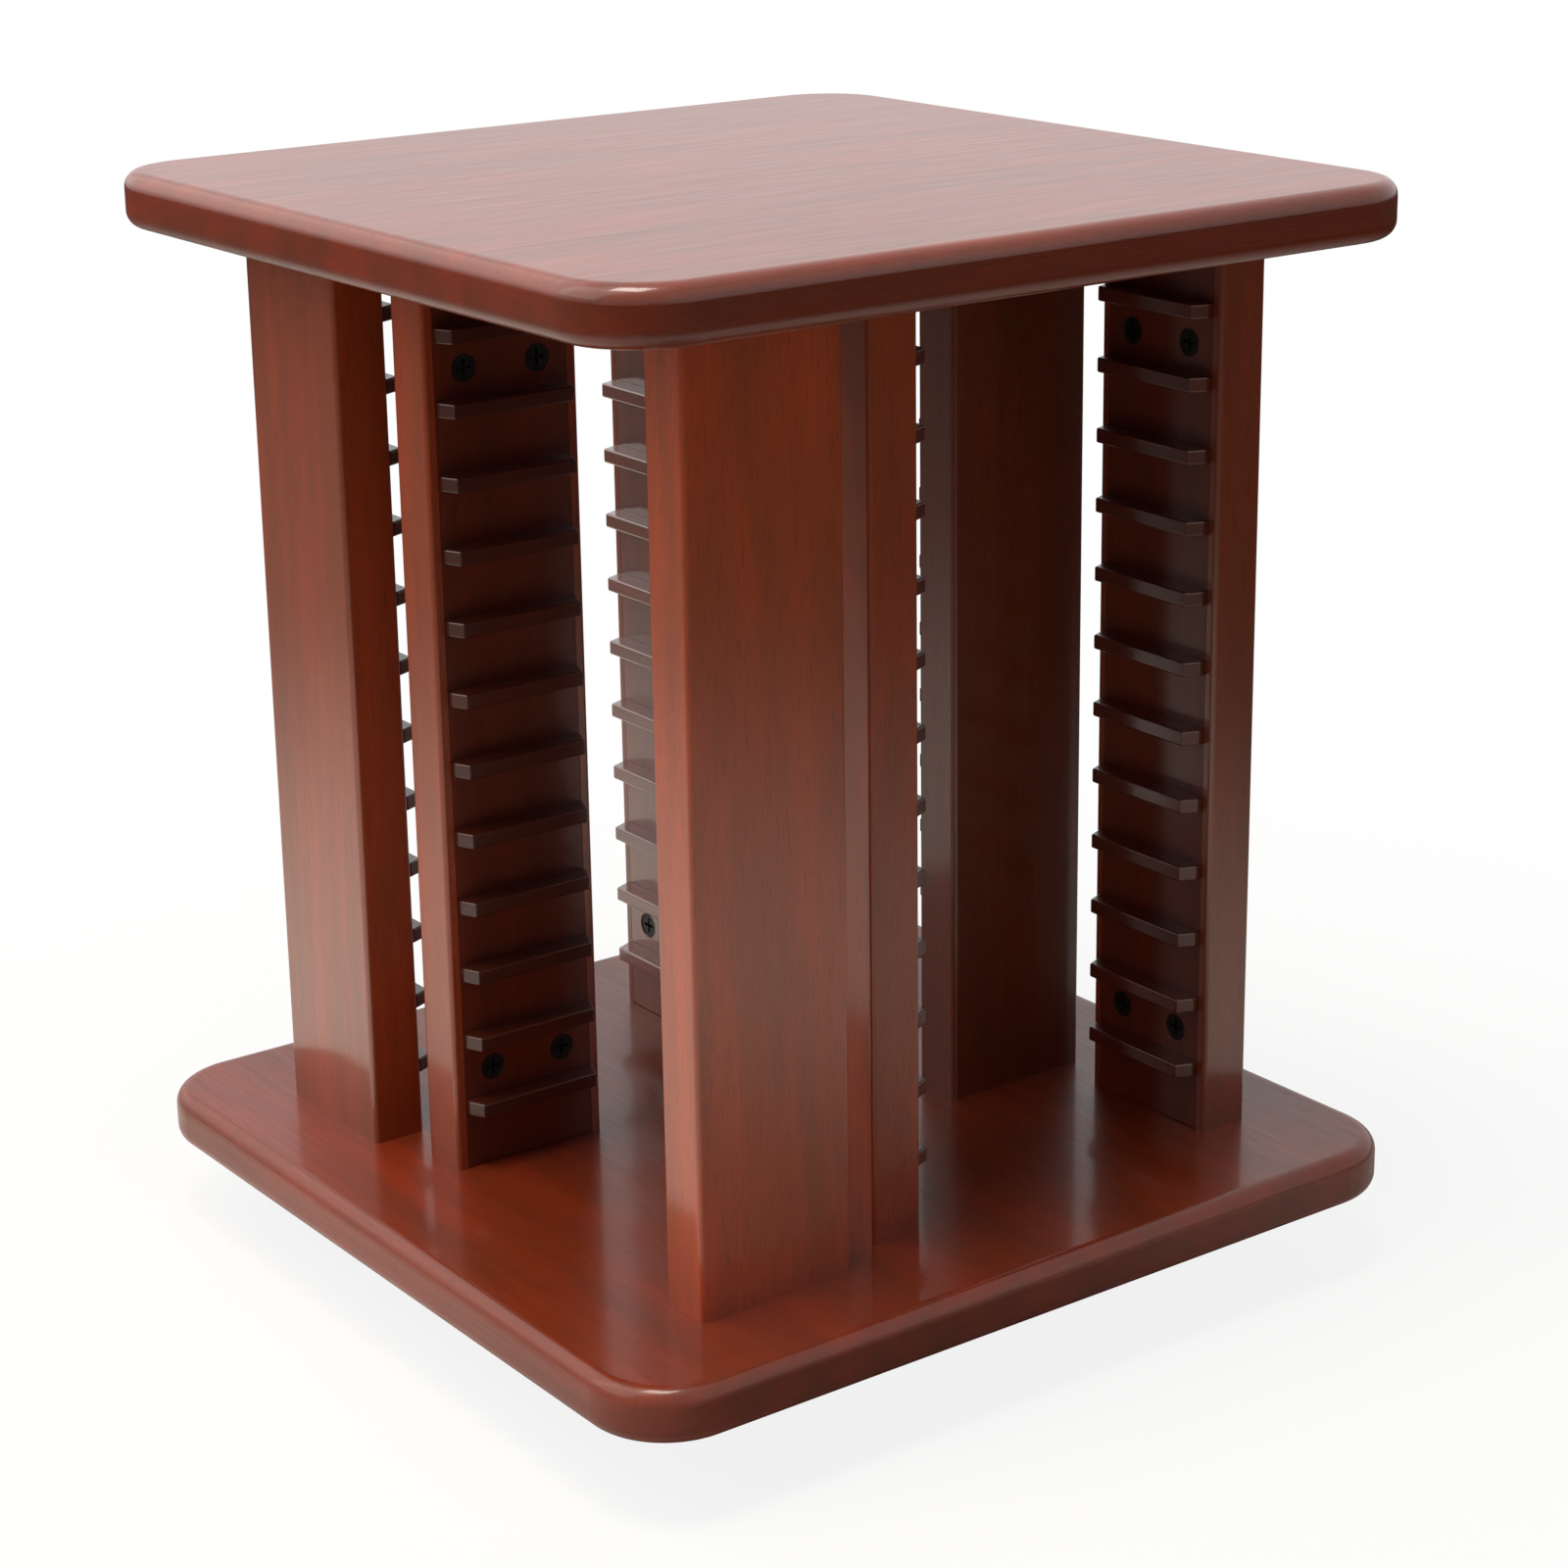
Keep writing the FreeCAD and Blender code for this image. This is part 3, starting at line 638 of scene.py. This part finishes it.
def add_camera():
    """The camera, aimed by heading, drop and roll."""
    stage = bpy.context.scene.tower_stage
    data = bpy.data.cameras.new("camera")
    data.lens = stage.camera_lens
    data.sensor_width = SENSOR_WIDTH
    data.shift_x, data.shift_y = stage.camera_shift
    data.dof.use_dof = False
    camera = bpy.data.objects.new("camera", data)
    heading, drop = stage.camera_heading, stage.camera_drop
    forward = Vector((sin(heading) * cos(drop), cos(heading) * cos(drop), -sin(drop)))
    roll = Matrix.Rotation(stage.camera_roll, 3, "Z").to_quaternion()
    aim = forward.to_track_quat("-Z", "Y") @ roll
    camera.location = stage.camera_place
    camera.rotation_euler = aim.to_euler()
    bpy.context.scene.collection.objects.link(camera)
    bpy.context.scene.camera = camera


class MEDIA_TOWER_OT_stage(bpy.types.Operator):
    """Build the floor, the lamps, the world and the camera"""
    bl_idname = "media_tower.stage"
    bl_label = "Build Stage"

    def execute(self, context):
        add_floor()
        light_world()
        for softbox in SOFTBOXES:
            add_softbox(*softbox)
        add_camera()
        context.scene.view_settings.view_transform = "Standard"
        return {"FINISHED"}


class MEDIA_TOWER_PT_sidebar(bpy.types.Panel):
    """The tower's tools and settings"""
    bl_idname = "MEDIA_TOWER_PT_sidebar"
    bl_label = "Media Tower"
    bl_space_type = "VIEW_3D"
    bl_region_type = "UI"
    bl_category = "Media Tower"

    def draw(self, context):
        for operator in OPERATORS:
            self.layout.operator(operator.bl_idname)
        for group_name in SETTINGS:
            group = getattr(context.scene, group_name)
            box = self.layout.box()
            for name in group.__annotations__:
                box.prop(group, name)


OPERATORS = (
    MEDIA_TOWER_OT_panels, MEDIA_TOWER_OT_posts, MEDIA_TOWER_OT_racks, MEDIA_TOWER_OT_fasteners,
    MEDIA_TOWER_OT_turntable, MEDIA_TOWER_OT_feet, MEDIA_TOWER_OT_stage,
)
SETTINGS = {
    "tower_wood": TowerWoodSettings,
    "tower_hardware": TowerHardwareSettings,
    "tower_stage": TowerStageSettings,
}
CLASSES = (*SETTINGS.values(), *OPERATORS, MEDIA_TOWER_PT_sidebar)


def register():
    """Register the classes and hang the settings on the scene."""
    for each in CLASSES:
        bpy.utils.register_class(each)
    for name, group in SETTINGS.items():
        setattr(bpy.types.Scene, name, PointerProperty(type=group))


def unregister():
    """Take the settings off the scene and unregister the classes."""
    for name in SETTINGS:
        delattr(bpy.types.Scene, name)
    for each in reversed(CLASSES):
        bpy.utils.unregister_class(each)


def main():
    """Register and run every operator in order."""
    register()
    bpy.ops.media_tower.panels()
    bpy.ops.media_tower.posts()
    bpy.ops.media_tower.racks()
    bpy.ops.media_tower.fasteners()
    bpy.ops.media_tower.turntable()
    bpy.ops.media_tower.feet()
    bpy.ops.media_tower.stage()


if __name__ == "__main__":
    main()
